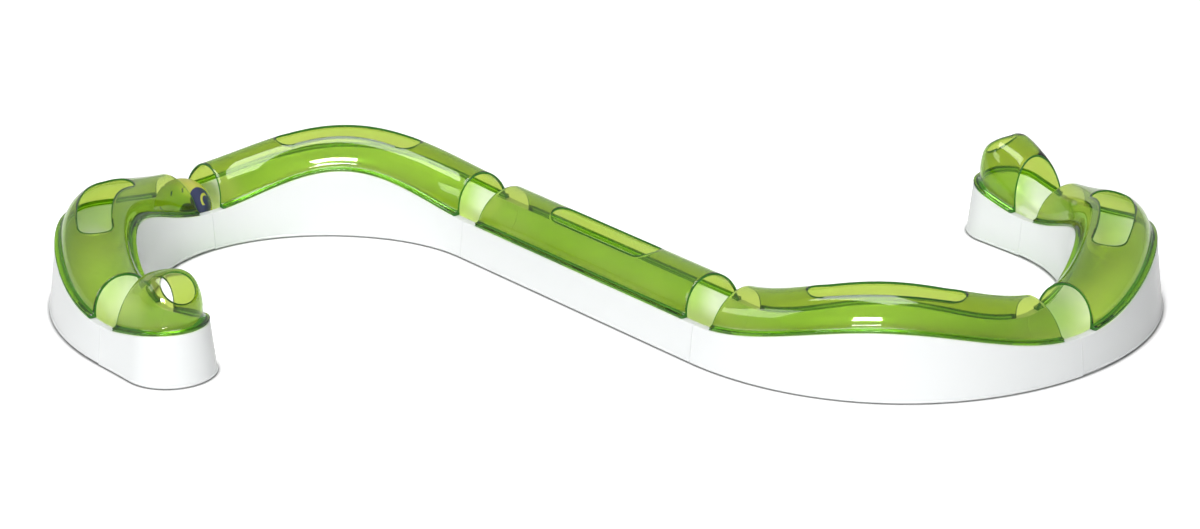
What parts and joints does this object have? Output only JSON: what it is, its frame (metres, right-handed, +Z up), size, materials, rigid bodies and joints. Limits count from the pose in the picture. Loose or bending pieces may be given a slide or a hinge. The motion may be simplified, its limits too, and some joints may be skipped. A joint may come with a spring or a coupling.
{
  "type": "cat ball track toy",
  "caption": "Low S-shaped track for a cat: a ball rolls in a white trough under clear lime tunnel covers with paw slots and open gaps.",
  "frame": {"origin": "on the floor, under the middle of the straight stretch and of the whole track", "axes": "+X along the length of the track to the right, +Y towards the back, +Z up"},
  "size_m": [0.8652, 0.4122, 0.0815],
  "materials": {
    "white_base": "glossy moulded polypropylene",
    "clear_lime_cover": "clear tinted moulded plastic, glossy",
    "olive_ball": "translucent moulded plastic, satin gloss"
  },
  "bodies": {
    "track": {"base_straight": "white_base", "base_wave_front": "white_base", "base_wave_back": "white_base", "base_curve_right": "white_base", "base_curve_left": "white_base", "base_end_right": "white_base", "base_end_left": "white_base"},
    "cover_straight": {"cover_straight": "clear_lime_cover"},
    "cover_wave_front": {"cover_wave_front": "clear_lime_cover"},
    "cover_wave_back": {"cover_wave_back": "clear_lime_cover"},
    "cover_curve_right": {"cover_curve_right": "clear_lime_cover"},
    "cover_curve_left": {"cover_curve_left": "clear_lime_cover"},
    "cover_end_right": {"cover_end_right": "clear_lime_cover"},
    "cover_end_left": {"cover_end_left": "clear_lime_cover"},
    "ball": {"ball": "olive_ball"}
  },
  "joints": [
    {"name": "lift_straight", "type": "slide", "parent": "track", "child": "cover_straight", "axis": [0, 0, 1], "range_m": [0, 0.08]},
    {"name": "lift_wave_front", "type": "slide", "parent": "track", "child": "cover_wave_front", "axis": [0, 0, 1], "range_m": [0, 0.08]},
    {"name": "lift_wave_back", "type": "slide", "parent": "track", "child": "cover_wave_back", "axis": [0, 0, 1], "range_m": [0, 0.08]},
    {"name": "lift_curve_right", "type": "slide", "parent": "track", "child": "cover_curve_right", "axis": [0, 0, 1], "range_m": [0, 0.08]},
    {"name": "lift_curve_left", "type": "slide", "parent": "track", "child": "cover_curve_left", "axis": [0, 0, 1], "range_m": [0, 0.08]},
    {"name": "lift_end_right", "type": "slide", "parent": "track", "child": "cover_end_right", "axis": [0, 0, 1], "range_m": [0, 0.08]},
    {"name": "lift_end_left", "type": "slide", "parent": "track", "child": "cover_end_left", "axis": [0, 0, 1], "range_m": [0, 0.08]},
    {"name": "ball_roll", "type": "hinge", "parent": "track", "child": "ball", "pos_m": [-0.29272, 0.07909, 0.11072], "axis": [-0.5071, 0.6098, 0.609], "range_deg": [-18, 16]}
  ]
}
